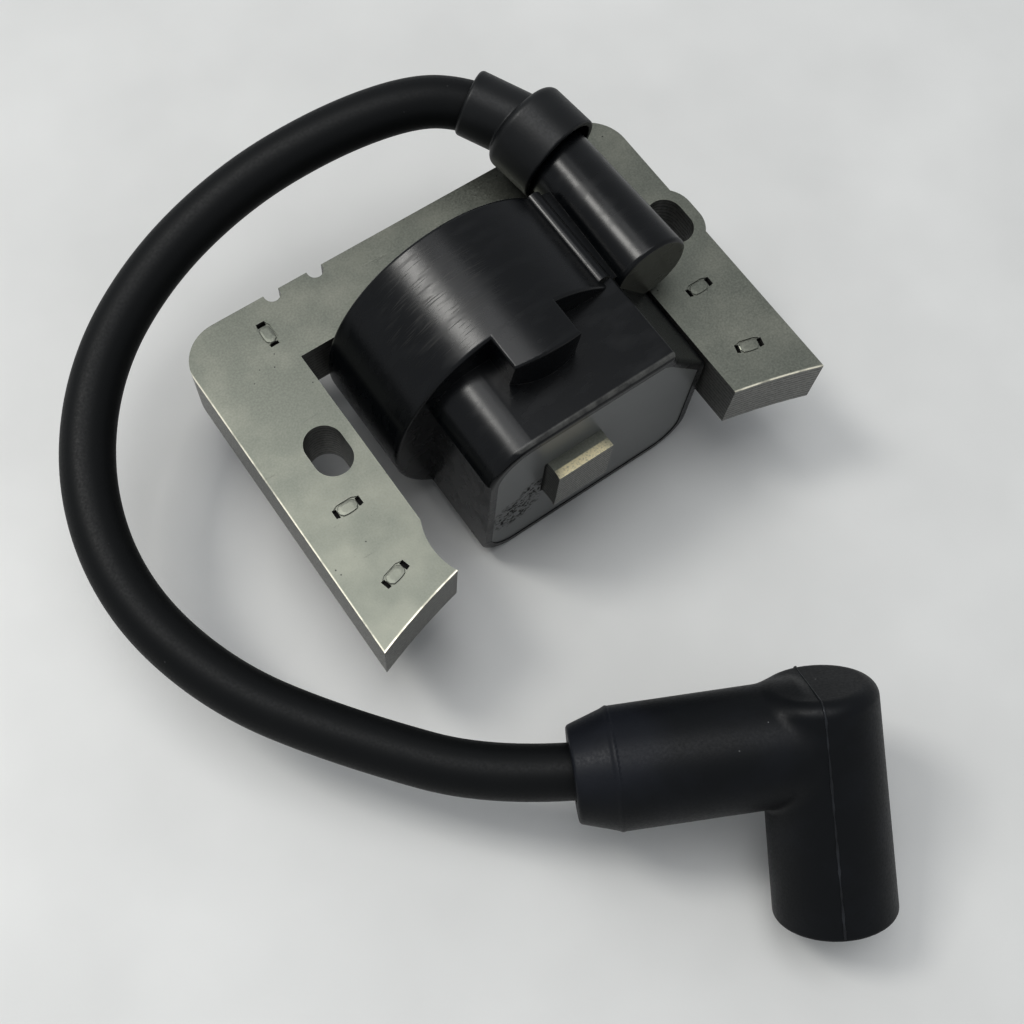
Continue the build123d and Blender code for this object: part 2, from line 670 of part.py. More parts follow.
with BuildPart() as lead_crimp:
    add(rod_in(sleeve_plane, CRIMP_RADIUS, CRIMP_START, LEAD_IN_BOOT - 8 * RUNNING))
    wire_hole = rod_in(
        sleeve_plane,
        CONDUCTOR_RADIUS + RUNNING,
        LEAD_IN_BOOT - STRIPPED - 1,
        LEAD_IN_BOOT,
    )
    add(wire_hole, mode=Mode.SUBTRACT)
finish(lead_crimp, "lead_crimp")
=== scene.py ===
"""Looks of a small-engine ignition coil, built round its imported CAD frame.

Everything is in metres, in the CAD's frame: +X along the core's yoke, +Y towards the
yoke's back edge, +Z up, with the origin on the core's mounting face.
"""

import logging
import math
from dataclasses import dataclass
from enum import Enum

import bmesh
import bpy
import numpy as np
from mathutils import Matrix, Vector

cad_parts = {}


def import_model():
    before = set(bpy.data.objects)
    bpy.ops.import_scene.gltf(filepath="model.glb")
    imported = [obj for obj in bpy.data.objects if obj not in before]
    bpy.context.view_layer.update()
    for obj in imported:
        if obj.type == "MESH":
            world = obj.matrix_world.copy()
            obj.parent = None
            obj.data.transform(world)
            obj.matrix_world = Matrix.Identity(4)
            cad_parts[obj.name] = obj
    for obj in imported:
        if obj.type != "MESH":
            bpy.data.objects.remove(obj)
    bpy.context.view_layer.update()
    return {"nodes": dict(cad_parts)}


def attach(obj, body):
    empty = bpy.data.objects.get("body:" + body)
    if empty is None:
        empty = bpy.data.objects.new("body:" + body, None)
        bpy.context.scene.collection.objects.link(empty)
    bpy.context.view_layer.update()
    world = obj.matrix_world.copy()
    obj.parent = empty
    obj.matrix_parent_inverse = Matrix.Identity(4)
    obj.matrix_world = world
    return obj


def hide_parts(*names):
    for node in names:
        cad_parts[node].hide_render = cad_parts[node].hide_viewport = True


MM = 0.001
LOG = logging.getLogger("ignition_coil")

Point = tuple[float, float, float]
Colour = tuple[float, float, float]
Socket = bpy.types.NodeSocket
Thing = bpy.types.Object

CROSSING: Point = (2.5, -81.0, 7.4)
BARREL_AXIS: Point = (-0.33, -0.75, -0.575)
SLEEVE_AXIS: Point = (-0.882, 0.460, -0.094)


def from_crossing(axis: Point, reach: float) -> Point:
    """A point in mm, so far along one of the plug boot's axes from where they cross."""
    step = Vector(axis).normalized() * reach
    return tuple(Vector(CROSSING) + step)


def metres(point: Point) -> Vector:
    """A point in mm as a vector in metres."""
    return Vector(point) * MM


class Body(Enum):
    """The CAD bodies that pieces ride on."""

    MODULE = "module"
    BOOT = "boot"


class Slot(Enum):
    """The names of the record's material slots."""

    CORE = "core_steel"
    BOOT = "boot_rubber"
    LEAD = "lead_rubber"
    CONDUCTOR = "conductor"


# ---------------------------------------------------------------- finishes
class Recipe:
    """A material being mixed: its shader, and short ways to feed it."""

    def __init__(
        self, name: str, colour: Colour, roughness: float, metallic: float, gleam: float = 0.5
    ) -> None:
        """Start a material.

        Args:
            name: the material's name.
            colour: its plain base colour, linear.
            roughness: its plain roughness.
            metallic: how metallic it is, 0 or 1 for most.
            gleam: how strongly it reflects, 0.5 for ordinary plastic.
        """
        self.material = bpy.data.materials.new(name)
        self.material.use_nodes = True
        self.tree = self.material.node_tree
        self.shader = self.tree.nodes["Principled BSDF"]
        self.shader.inputs["Base Color"].default_value = (*colour, 1.0)
        self.shader.inputs["Roughness"].default_value = roughness
        self.shader.inputs["Metallic"].default_value = metallic
        self.shader.inputs["Specular IOR Level"].default_value = gleam
        self.relief: Socket | None = None

    def node(self, kind: str, **settings: object) -> bpy.types.Node:
        """Add a node of that kind and set its plain properties."""
        made = self.tree.nodes.new(kind)
        for key, value in settings.items():
            setattr(made, key, value)
        return made

    def feed(self, socket: Socket, value: "Socket | float") -> None:
        """Link a socket or set a number on an input."""
        if isinstance(value, bpy.types.NodeSocket):
            self.tree.links.new(value, socket)
        else:
            socket.default_value = value

    def place(self) -> Socket:
        """The surface point in the object's frame, in metres."""
        return self.node("ShaderNodeTexCoord").outputs["Object"]

    def facing(self, axis: int) -> Socket:
        """One component of the surface normal."""
        normal = self.node("ShaderNodeNewGeometry").outputs["Normal"]
        parts = self.node("ShaderNodeSeparateXYZ")
        self.feed(parts.inputs[0], normal)
        return parts.outputs[axis]

    def part(self, axis: int) -> Socket:
        """One coordinate of the surface point, in metres."""
        parts = self.node("ShaderNodeSeparateXYZ")
        self.feed(parts.inputs[0], self.place())
        return parts.outputs[axis]

    def maths(
        self, operation: str, first: "Socket | float", second: "Socket | float" = 0.0
    ) -> Socket:
        """Combine one or two numbers.

        Args:
            operation: the Math node's operation.
            first: a socket or a number.
            second: a socket or a number.

        Returns:
            The result's socket.
        """
        made = self.node("ShaderNodeMath", operation=operation)
        self.feed(made.inputs[0], first)
        self.feed(made.inputs[1], second)
        return made.outputs[0]

    def grain(self, size: float, detail: float = 2.0, stretch: Point = (1.0, 1.0, 1.0)) -> Socket:
        """Cloudy noise.

        Args:
            size: the size of its blotches, in mm.
            detail: how many finer layers it has.
            stretch: how much longer the blotches are along each axis.

        Returns:
            The noise's factor, about 0.3 to 0.7.
        """
        mapping = self.node("ShaderNodeMapping")
        self.feed(mapping.inputs["Vector"], self.place())
        mapping.inputs["Scale"].default_value = [1.0 / amount for amount in stretch]
        made = self.node("ShaderNodeTexNoise")
        self.feed(made.inputs["Vector"], mapping.outputs[0])
        made.inputs["Scale"].default_value = 1.0 / (size * MM)
        made.inputs["Detail"].default_value = detail
        return made.outputs["Fac"]

    def specks(self, spacing: float, radius: float) -> Socket:
        """Round specks, one to a cell.

        Args:
            spacing: the size of a cell, in mm.
            radius: a speck's radius as a share of the cell.

        Returns:
            1 in a speck and 0 between them.
        """
        made = self.node("ShaderNodeTexVoronoi")
        self.feed(made.inputs["Vector"], self.place())
        made.inputs["Scale"].default_value = 1.0 / (spacing * MM)
        return self.span(made.outputs["Distance"], radius, radius * 0.7)

    def span(
        self, value: Socket, low: float, high: float, start: float = 0.0, end: float = 1.0
    ) -> Socket:
        """Stretch a range of values, clamped.

        Args:
            value: the socket to stretch.
            low: the value that becomes start.
            high: the value that becomes end.
            start: the result at low.
            end: the result at high.

        Returns:
            The stretched value.
        """
        made = self.node("ShaderNodeMapRange", clamp=True)
        self.feed(made.inputs["Value"], value)
        limits = {"From Min": low, "From Max": high, "To Min": start, "To Max": end}
        for name, number in limits.items():
            made.inputs[name].default_value = number
        return made.outputs["Result"]

    def within(self, centre: Point, reach: float) -> Socket:
        """1 at a point of the object, fading to 0 at that reach, all in mm."""
        made = self.node("ShaderNodeVectorMath", operation="DISTANCE")
        self.feed(made.inputs[0], self.place())
        made.inputs[1].default_value = metres(centre)
        return self.span(made.outputs["Value"], reach * MM, reach * 0.6 * MM)

    def from_axis(self, x: float, y: float) -> Socket:
        """Distance in mm from an upright axis at that x and y, in mm."""
        flat = self.node("ShaderNodeVectorMath", operation="MULTIPLY")
        self.feed(flat.inputs[0], self.place())
        flat.inputs[1].default_value = (1.0 / MM, 1.0 / MM, 0.0)
        made = self.node("ShaderNodeVectorMath", operation="DISTANCE")
        self.feed(made.inputs[0], flat.outputs["Vector"])
        made.inputs[1].default_value = (x, y, 0.0)
        return made.outputs["Value"]

    def glinting_worn_edge(self, radius: float, lean: Point) -> Socket:
        """Find the edges that face a way, for a painted highlight on their rounds along with wear
        from handling.

        Args:
            radius: how far from the edge the wear reaches, in mm.
            lean: the direction the lit, worn edges face.

        Returns:
            0 on open faces, rising at an edge.
        """
        rounded = self.node("ShaderNodeBevel", samples=6)
        rounded.inputs["Radius"].default_value = radius * MM
        turn = self.node("ShaderNodeVectorMath", operation="SUBTRACT")
        self.feed(turn.inputs[0], rounded.outputs["Normal"])
        self.feed(turn.inputs[1], self.node("ShaderNodeNewGeometry").outputs["Normal"])
        share = self.node("ShaderNodeVectorMath", operation="DOT_PRODUCT")
        self.feed(share.inputs[0], turn.outputs["Vector"])
        share.inputs[1].default_value = Vector(lean).normalized()
        return self.span(share.outputs["Value"], 0.12, 0.3)

    def tint(self, factor: Socket, first: "Colour | Socket", second: "Colour | Socket") -> Socket:
        """Mix two colours.

        Args:
            factor: 0 for the first colour, 1 for the second.
            first: a colour or a socket.
            second: a colour or a socket.

        Returns:
            The mixed colour's socket.
        """
        made = self.node("ShaderNodeMix", data_type="RGBA")
        self.feed(made.inputs["Factor"], factor)
        for socket, value in ((made.inputs[6], first), (made.inputs[7], second)):
            if isinstance(value, bpy.types.NodeSocket):
                self.feed(socket, value)
            else:
                socket.default_value = (*value, 1.0)
        return made.outputs[2]

    def colour(self, value: Socket) -> None:
        """Use a colour socket as the base colour."""
        self.feed(self.shader.inputs["Base Color"], value)

    def roughness(self, value: Socket) -> None:
        """Use a socket as the roughness."""
        self.feed(self.shader.inputs["Roughness"], value)

    def emboss(self, height: Socket, depth: float, strength: float = 1.0) -> None:
        """Add relief.

        Args:
            height: the relief's height, 0 to 1.
            depth: its real depth, in mm.
            strength: how strongly it shows.
        """
        made = self.node("ShaderNodeBump")
        made.inputs["Distance"].default_value = depth * MM
        made.inputs["Strength"].default_value = strength
        self.feed(made.inputs["Height"], height)
        if self.relief is not None:
            self.feed(made.inputs["Normal"], self.relief)
        self.relief = made.outputs["Normal"]
        self.feed(self.shader.inputs["Normal"], self.relief)


@dataclass(frozen=True)
class ElectricalSteel:
    """Satin coated lamination steel, with cut edges that show the sheets."""

    coat: Colour = (0.238, 0.247, 0.216)
    dark: Colour = (0.186, 0.195, 0.168)
    cut: Colour = (0.23, 0.23, 0.22)
    # also the colour of the painted highlight along the top edges of the pole faces and the left
    # flank
    bright: Colour = (0.92, 0.88, 0.74)
    speck: Colour = (0.03, 0.03, 0.03)
    # near black: painted shade for the flat faces below the top sheet
    pit_shade: Colour = (0.006, 0.006, 0.006)
    seam: Colour = (0.035, 0.035, 0.035)
    fleck: Colour = (0.3, 0.3, 0.28)
    varnish: Colour = (0.75, 0.68, 0.48)
    metal: float = 0.88
    roughness: float = 0.38
    sheet: float = 0.75
    top: float = 9.0
    pole: float = 109.3
    axis: float = -144.4
    tip: Point = (0.0, -35.4, 9.0)

    def flat_face(self, mixer: Recipe, fine: Socket, broad: Socket) -> Socket:
        """Colour the coated faces and a few black specks, and paint shade on the flat faces below
        the top sheet, such as the bottoms of the marks.

        Args:
            mixer: the core's material.
            fine: its fine grain.
            broad: its broad grain.

        Returns:
            The faces' colour.
        """
        face = mixer.tint(mixer.span(fine, 0.35, 0.72), self.dark, self.coat)
        face = mixer.tint(mixer.span(broad, 0.42, 0.8, 0.0, 0.10), face, self.bright)
        scattered = mixer.span(mixer.grain(5.0), 0.55, 0.6)
        specks = mixer.maths("MULTIPLY", mixer.specks(1.7, 0.07), scattered)
        face = mixer.tint(specks, face, self.speck)
        height = mixer.part(2)
        # painted shade: flat faces lower than the top sheet, such as the bottoms of the interlock
        # marks, go near black
        pit_shade = mixer.span(height, (self.top - 0.25) * MM, (self.top - 0.45) * MM)
        return mixer.tint(pit_shade, face, self.pit_shade)

    def cut_edge(self, mixer: Recipe, seam: Socket) -> Socket:
        """Colour the cut edges, where each sheet shows.

        Args:
            mixer: the core's material.
            seam: how near the surface point is to a seam between two sheets.

        Returns:
            The edges' colour.
        """
        speckle = mixer.grain(0.45, 4.0, (1.0, 1.0, 1.6))
        edge = mixer.tint(mixer.span(seam, 0.28, 0.5, 0.0, 0.7), self.cut, self.seam)
        return mixer.tint(mixer.span(speckle, 0.45, 0.7, 0.0, 0.6), edge, self.fleck)

    def edge_glint_and_wear(self, mixer: Recipe) -> Socket:
        """Find the bright band along the top edges of the pole faces and the left flank: a painted
        highlight, on edges that are also worn bright.
        """
        reach = mixer.from_axis(0.0, self.axis)
        poles = mixer.span(reach, self.pole + 0.28, self.pole + 0.12, 0.0, 0.85)
        flank = mixer.span(mixer.part(0), -36.26 * MM, -36.4 * MM, 0.0, 0.5)
        wear_and_glint = mixer.maths("MAXIMUM", poles, flank)
        upper = mixer.span(mixer.part(2), (self.top - 0.2) * MM, (self.top - 0.12) * MM)
        wear_and_glint = mixer.maths("MULTIPLY", wear_and_glint, upper)
        return mixer.maths("MULTIPLY", wear_and_glint, mixer.span(mixer.grain(2.5), 0.36, 0.5, 0.4, 1.0))

    def leg_tip(self, mixer: Recipe, fine: Socket, broad: Socket) -> Socket:
        """Find the varnished top of the centre leg's tip.

        Args:
            mixer: the core's material.
            fine: its fine grain.
            broad: its broad grain.

        Returns:
            1 on the varnish and 0 elsewhere.
        """
        near = mixer.maths("MULTIPLY", mixer.within(self.tip, 5.6), mixer.span(broad, 0.2, 0.3))
        front = mixer.span(mixer.part(1), -33.2 * MM, -33.35 * MM)
        near = mixer.maths("MULTIPLY", near, front)
        near = mixer.maths("MULTIPLY", near, mixer.span(fine, 0.3, 0.5, 0.5, 1.0))
        return mixer.maths("MULTIPLY", near, mixer.span(mixer.facing(2), 0.5, 0.8))

    def mix(self) -> bpy.types.Material:
        """Mix the core's material."""
        mixer = Recipe("core_steel", self.coat, self.roughness, self.metal)
        side = mixer.span(mixer.maths("ABSOLUTE", mixer.facing(2)), 0.75, 0.35)
        fine = mixer.grain(0.28, 3.0)
        broad = mixer.grain(7.0, 3.0)
        layer = mixer.maths("FRACT", mixer.maths("DIVIDE", mixer.part(2), self.sheet * MM))
        seam = mixer.maths("ABSOLUTE", mixer.maths("SUBTRACT", layer, 0.5))
        face = self.flat_face(mixer, fine, broad)
        skin = mixer.tint(side, face, self.cut_edge(mixer, seam))
        # painted highlight, mixed with bright worn steel, along the top edges of the pole faces
        # and the left flank
        skin = mixer.tint(self.edge_glint_and_wear(mixer), skin, self.bright)
        mixer.colour(mixer.tint(self.leg_tip(mixer, fine, broad), skin, self.varnish))
        mixer.roughness(
            mixer.span(fine, 0.3, 0.7, self.roughness - 0.06, self.roughness + 0.08)
        )
        mixer.emboss(mixer.maths("MULTIPLY", side, mixer.span(seam, 0.5, 0.25)), 0.06)
        mixer.emboss(fine, 0.012, 0.5)
        scratch = mixer.span(mixer.grain(1.6, 4.0, (7.0, 0.35, 1.0)), 0.70, 0.72)
        mixer.emboss(scratch, -0.02, 0.5)
        return mixer.material


@dataclass(frozen=True)
class MouldedPlastic:
    """Black glossy moulding, rubbed a little along its crown."""

    base: Colour = (0.0022, 0.0030, 0.0040)
    scuffed: Colour = (0.008, 0.009, 0.010)
    scratched: Colour = (0.05, 0.048, 0.042)
    # painted highlight on the edge rounds, mixed with real edge wear
    wear_and_glint: Colour = (0.13, 0.13, 0.125)
    # painted highlight on the front edge's rounding, mixed with rubbing
    lip_wear_and_glint: Colour = (0.085, 0.085, 0.08)
    roughness: float = 0.29
    gleam: float = 0.46
    rim: float = -31.95
    top: float = 18.5
    crown: Point = (-7.5, -10.0, 23.0)
    outlet: Point = (22.25, -18.6, 15.3)
    # lighter grey: painted reflection of the lit core top in the tower's end disc
    end_disc_reflection: Colour = (0.075, 0.075, 0.063)

    def rubbed_and_lit_lip(self, mixer: Recipe) -> Socket:
        """Find the band along the front box's upper front edge: a painted highlight on its
        rounding, where the edge is also rubbed.
        """
        depth = mixer.part(1)
        front = mixer.span(depth, (self.rim + 0.95) * MM, (self.rim + 0.75) * MM)
        shadow = mixer.span(depth, (self.rim + 0.12) * MM, (self.rim + 0.25) * MM)
        crest = mixer.span(mixer.part(2), (self.top - 0.6) * MM, (self.top - 0.4) * MM)
        return mixer.maths("MULTIPLY", mixer.maths("MULTIPLY", front, crest), shadow)

    def tower_end(self, mixer: Recipe) -> Socket:
        """Find the tower's flat front end."""
        forward = mixer.span(mixer.facing(1), -0.9, -0.97)
        return mixer.maths("MULTIPLY", mixer.within(self.outlet, 9.6), forward)

    def mix(self) -> bpy.types.Material:
        """Mix the coil case's material."""
        mixer = Recipe("case_plastic", self.base, self.roughness, 0.0, self.gleam)
        rubbed = mixer.span(mixer.grain(3.5, 5.0, (1.6, 0.6, 1.0)), 0.5, 0.75)
        hair = mixer.span(mixer.grain(0.6, 4.0, (7.0, 0.35, 7.0)), 0.55, 0.63)
        hair = mixer.maths("MULTIPLY", hair, mixer.within(self.crown, 9.0))
        skin = mixer.tint(mixer.maths("MULTIPLY", rubbed, 0.6), self.base, self.scuffed)
        skin = mixer.tint(mixer.maths("MULTIPLY", hair, 0.3), skin, self.scratched)
        broken = mixer.span(mixer.grain(1.8, 3.0), 0.36, 0.60, 0.35, 1.0)
        # painted highlight, mixed with real edge wear, on edge rounds facing up and slightly
        # forward
        wear_and_glint = mixer.maths("MULTIPLY", mixer.glinting_worn_edge(0.16, (-0.2, -0.3, 0.9)), broken)
        skin = mixer.tint(wear_and_glint, skin, self.wear_and_glint)
        # painted highlight, mixed with rubbing, along the box's upper front edge
        lip_wear_and_glint = mixer.maths("MULTIPLY", self.rubbed_and_lit_lip(mixer), broken)
        skin = mixer.tint(lip_wear_and_glint, skin, self.lip_wear_and_glint)
        # painted reflection: the tower's flat front end is coloured lighter grey, standing in for
        # the lit core top it reflects
        mixer.colour(mixer.tint(self.tower_end(mixer), skin, self.end_disc_reflection))
        patchy = mixer.span(rubbed, 0.0, 1.0, self.roughness - 0.03, self.roughness + 0.08)
        mixer.roughness(mixer.maths("ADD", patchy, mixer.maths("MULTIPLY", hair, 0.12)))
        mixer.emboss(mixer.grain(2.4, 2.0), 0.03, 0.3)
        return mixer.material


@dataclass(frozen=True)
class CastEpoxy:
    """Potting resin with a patch of burst bubbles at one corner and round the leg."""

    base: Colour = (0.130, 0.134, 0.132)
    roughness: float = 0.30
    bubbles: Point = (-9.0, -31.8, -1.5)
    leg: Point = (-5.6, -31.8, 3.0)

    def mix(self) -> bpy.types.Material:
        """Mix the potting's material."""
        mixer = Recipe("epoxy", self.base, self.roughness, 0.0)
        beside = mixer.within(self.leg, 3.0)
        patch = mixer.maths("MAXIMUM", mixer.within(self.bubbles, 4.6), beside)
        pits = mixer.span(mixer.grain(0.5, 4.0), 0.50, 0.60)
        pits = mixer.maths("MULTIPLY", pits, patch)
        # painted shade: the burst bubbles' pits go near black
        mixer.colour(mixer.tint(pits, self.base, (0.006, 0.006, 0.006)))
        mixer.roughness(mixer.span(pits, 0.0, 1.0, self.roughness, 0.7))
        mixer.emboss(pits, -0.25)
        mixer.emboss(mixer.grain(6.0, 2.0), 0.1, 0.25)
        return mixer.material


@dataclass(frozen=True)
class BlackRubber:
    """Moulded rubber with a faint bloom and a little dust."""

    name: str
    base: Colour
    bloom: Colour
    roughness: float
    bloom_share: float
    dust: float
    gleam: float = 0.2
    patch: Point | None = None
    patch_reach: float = 16.0

    def mix(self) -> bpy.types.Material:
        """Mix a rubber."""
        mixer = Recipe(self.name, self.base, self.roughness, 0.0, self.gleam)
        cloud = mixer.span(mixer.grain(6.0, 5.0), 0.48, 0.72, 0.0, self.bloom_share)
        if self.patch is not None:
            near = mixer.within(self.patch, self.patch_reach)
            cloud = mixer.maths("ADD", cloud, mixer.maths("MULTIPLY", near, 0.8))
        face = mixer.tint(cloud, self.base, self.bloom)
        scattered = mixer.span(mixer.grain(8.0), 0.5, 0.6)
        dust = mixer.maths("MULTIPLY", mixer.specks(2.6, 0.05), scattered)
        face = mixer.tint(mixer.maths("MULTIPLY", dust, self.dust), face, (0.3, 0.3, 0.3))
        mixer.colour(face)
        skin = mixer.grain(0.35, 3.0)
        mixer.roughness(mixer.span(skin, 0.3, 0.7, self.roughness - 0.05, self.roughness + 0.08))
        mixer.emboss(skin, 0.02, 0.35)
        mixer.emboss(mixer.grain(5.0, 2.0), 0.12, 0.3)
        return mixer.material


@dataclass(frozen=True)
class WoundWire:
    """Enamelled wire laid in turns round the centre leg."""

    name: str = "enamelled_wire"
    base: Colour = (0.42, 0.13, 0.035)
    pitch: float = 0.35

    def mix(self) -> bpy.types.Material:
        """Mix the windings' material."""
        mixer = Recipe(self.name, self.base, 0.3, 0.85)
        turn = mixer.maths("FRACT", mixer.maths("DIVIDE", mixer.part(1), self.pitch * MM))
        crown = mixer.maths("ABSOLUTE", mixer.maths("SUBTRACT", turn, 0.5))
        # painted shade: darker lines in the grooves between the turns
        mixer.colour(mixer.tint(mixer.span(crown, 0.3, 0.5), self.base, (0.10, 0.03, 0.01)))
        mixer.emboss(mixer.span(crown, 0.5, 0.0), 0.1)
        return mixer.material


@dataclass(frozen=True)
class PlainStock:
    """A stock material with a fine grain: bobbin nylon, board, brass, spring steel."""

    name: str
    base: Colour
    shade: Colour
    roughness: float
    metallic: float
    grain: float

    def mix(self) -> bpy.types.Material:
        """Mix a stock material."""
        mixer = Recipe(self.name, self.base, self.roughness, self.metallic)
        cloud = mixer.grain(self.grain, 4.0)
        mixer.colour(mixer.tint(mixer.span(cloud, 0.35, 0.7), self.shade, self.base))
        mixer.roughness(mixer.span(cloud, 0.3, 0.7, self.roughness + 0.1, self.roughness - 0.05))
        mixer.emboss(cloud, 0.02, 0.5)
        return mixer.material


CORE_STEEL = ElectricalSteel()
CASE_PLASTIC = MouldedPlastic()
EPOXY = CastEpoxy()
SEAL_RUBBER = BlackRubber(
    name="seal_rubber",
    base=(0.007, 0.008, 0.0088),
    bloom=(0.018, 0.019, 0.02),
    roughness=0.40,
    bloom_share=0.4,
    dust=0.3,
    gleam=0.45,
)
PLUG_RUBBER = BlackRubber(
    name="boot_rubber",
    base=(0.0016, 0.0027, 0.0042),
    bloom=(0.010, 0.0120, 0.0175),
    roughness=0.44,
    bloom_share=0.35,
    dust=0.5,
    gleam=0.33,
    patch=(-21.4, -66.2, 12.3),
    patch_reach=9.0,
)
FLASH_RUBBER = BlackRubber(
    name="flash_rubber",
    base=(0.008, 0.0095, 0.012),
    bloom=(0.042, 0.047, 0.056),
    roughness=0.42,
    bloom_share=1.0,
    dust=0.5,
    gleam=0.5,
)
LEAD_RUBBER = BlackRubber(
    name="lead_rubber",
    base=(0.0045, 0.0054, 0.0060),
    bloom=(0.008, 0.0084, 0.0089),
    roughness=0.48,
    bloom_share=0.3,
    dust=0.15,
    gleam=0.29,
)
WIRE = WoundWire()
NYLON = PlainStock("bobbin_plastic", (0.72, 0.68, 0.56), (0.6, 0.56, 0.45), 0.45, 0.0, 1.5)
LAMINATE = PlainStock("board_laminate", (0.05, 0.17, 0.06), (0.04, 0.13, 0.05), 0.4, 0.0, 0.8)
FILM = PlainStock("capacitor_film", (0.36, 0.07, 0.03), (0.27, 0.05, 0.02), 0.25, 0.0, 2.0)
PACKAGE = PlainStock("semiconductor", (0.02, 0.02, 0.021), (0.012, 0.012, 0.012), 0.5, 0.0, 0.5)
LACQUER = PlainStock("resistor_body", (0.55, 0.42, 0.22), (0.46, 0.34, 0.17), 0.35, 0.0, 0.8)
BRASS = PlainStock("brass_parts", (0.75, 0.55, 0.25), (0.5, 0.35, 0.15), 0.3, 1.0, 0.7)
SPRING = PlainStock("spring_steel", (0.6, 0.6, 0.57), (0.42, 0.42, 0.4), 0.28, 1.0, 0.7)
COPPER = PlainStock("conductor", (0.8, 0.42, 0.26), (0.55, 0.26, 0.15), 0.3, 1.0, 0.4)


def dress(piece: Thing, material: bpy.types.Material) -> None:
    """Give a piece one material all over."""
    piece.data.materials.clear()
    piece.data.materials.append(material)


def report(piece: Thing, note: str) -> None:
    """Log a finished piece."""
    LOG.info("%s: %s", piece.name, note)


# ---------------------------------------------------------------- moulded shapes
@dataclass(frozen=True)
class Bar:
    """A round bar between two points, in mm, straight or tapered, with rounded rims."""

    start: Point
    end: Point
    radius: float
    end_radius: float
    start_rim: float = 0.0
    end_rim: float = 0.0

    def distance(self, places: np.ndarray) -> np.ndarray:
        """Signed distance of places from the bar's surface.

        Args:
            places: an array of points, in mm.

        Returns:
            Their distances, below 0 inside.
        """
        start = np.array(self.start)
        axis = np.array(self.end) - start
        length = float(np.linalg.norm(axis))
        axis = axis / length
        offset = places - start
        along = offset @ axis
        radial = np.linalg.norm(offset - along[..., None] * axis, axis=-1)
        share = np.clip(along / length, 0.0, 1.0)
        radius = self.radius + (self.end_radius - self.radius) * share
        rim = np.where(along < length / 2, self.start_rim, self.end_rim)
        out = radial - radius + rim
        past = np.abs(along - length / 2) - length / 2 + rim
        corner = np.hypot(np.maximum(out, 0.0), np.maximum(past, 0.0))
        return np.minimum(np.maximum(out, past), 0.0) + corner - rim


@dataclass(frozen=True)
class Mould:
    """A rubber moulding: bars that melt into each other, less the bars that core it out."""

    bars: tuple[Bar, ...]
    cores: tuple[Bar, ...]
    melts: tuple[float, ...]
    cell: float

    def depth(self, places: np.ndarray) -> np.ndarray:
        """Signed distance of places from the moulding's surface, in mm."""
        body = self.bars[0].distance(places)
        for bar, melt in zip(self.bars[1:], self.melts):
            other = bar.distance(places)
            near = np.clip(0.5 + 0.5 * (body - other) / melt, 0.0, 1.0)
            body = body + (other - body) * near - melt * near * (1.0 - near)
        for core in self.cores:
            body = np.maximum(body, -core.distance(places))
        return body

    def settle(self, corners: np.ndarray) -> tuple[np.ndarray, np.ndarray]:
        """Move points onto the surface.

        Args:
            corners: points near the surface, in mm.

        Returns:
            The moved points, and the surface's outward directions there.
        """
        slope = np.zeros_like(corners)
        for _ in range(3):
            for axis in range(3):
                nudge = np.zeros(3)
                nudge[axis] = 0.02
                slope[:, axis] = self.depth(corners + nudge) - self.depth(corners - nudge)
            slope /= np.maximum(np.linalg.norm(slope, axis=1, keepdims=True), 1e-9)
            corners = corners - slope * self.depth(corners)[:, None]
        return corners, slope

    def cast(self, name: str) -> Thing:
        """Make the moulding's mesh.

        Args:
            name: the object's name.

        Returns:
            A smooth mesh object in the row frame, in metres.
        """
        ends = np.array([point for bar in self.bars for point in (bar.start, bar.end)])
        room = max(max(bar.radius, bar.end_radius) for bar in self.bars) + 3 * self.cell
        low = ends.min(0) - room
        counts = np.ceil((ends.max(0) + room - low) / self.cell).astype(int) + 1
        axes = [low[n] + self.cell * np.arange(counts[n]) for n in range(3)]
        grid = np.stack(np.meshgrid(*axes, indexing="ij"), axis=-1)
        inside = self.depth(grid) < 0.0
        filled = np.zeros(counts - 1, int)
        for dx, dy, dz in np.ndindex(2, 2, 2):
            spans = [slice(d, d + n - 1) for d, n in zip((dx, dy, dz), counts)]
            filled += inside[tuple(spans)]
        shell = (filled > 0) & (filled < 8)
        number = np.full(shell.shape, -1)
        number[shell] = np.arange(int(shell.sum()))
        corners = low + self.cell * (np.argwhere(shell) + 0.5)
        quads = []
        for axis in range(3):
            here = np.moveaxis(inside, axis, 0)
            cells = np.moveaxis(number, axis, 0)
            crossing = here[:-1, 1:-1, 1:-1] != here[1:, 1:-1, 1:-1]
            a, b, c = np.nonzero(crossing)
            around = [cells[a, b + 1 - i, c + 1 - j] for i, j in ((1, 1), (0, 1), (0, 0), (1, 0))]
            faces = np.stack(around, axis=1)
            flip = here[:-1, 1:-1, 1:-1][crossing]
            faces[~flip] = faces[~flip][:, ::-1]
            quads.append(faces if axis != 1 else faces[:, ::-1])
        faces = np.concatenate(quads)
        corners, _ = self.settle(corners)
        for _ in range(2):
            corners, outward = self.settle(relaxed(corners, faces))
        mesh = bpy.data.meshes.new(name)
        mesh.from_pydata((corners * MM).tolist(), [], faces.tolist())
        mesh.polygons.foreach_set("use_smooth", [True] * len(faces))
        mesh.normals_split_custom_set_from_vertices(outward.tolist())
        piece = bpy.data.objects.new(name, mesh)
        bpy.context.scene.collection.objects.link(piece)
        return piece


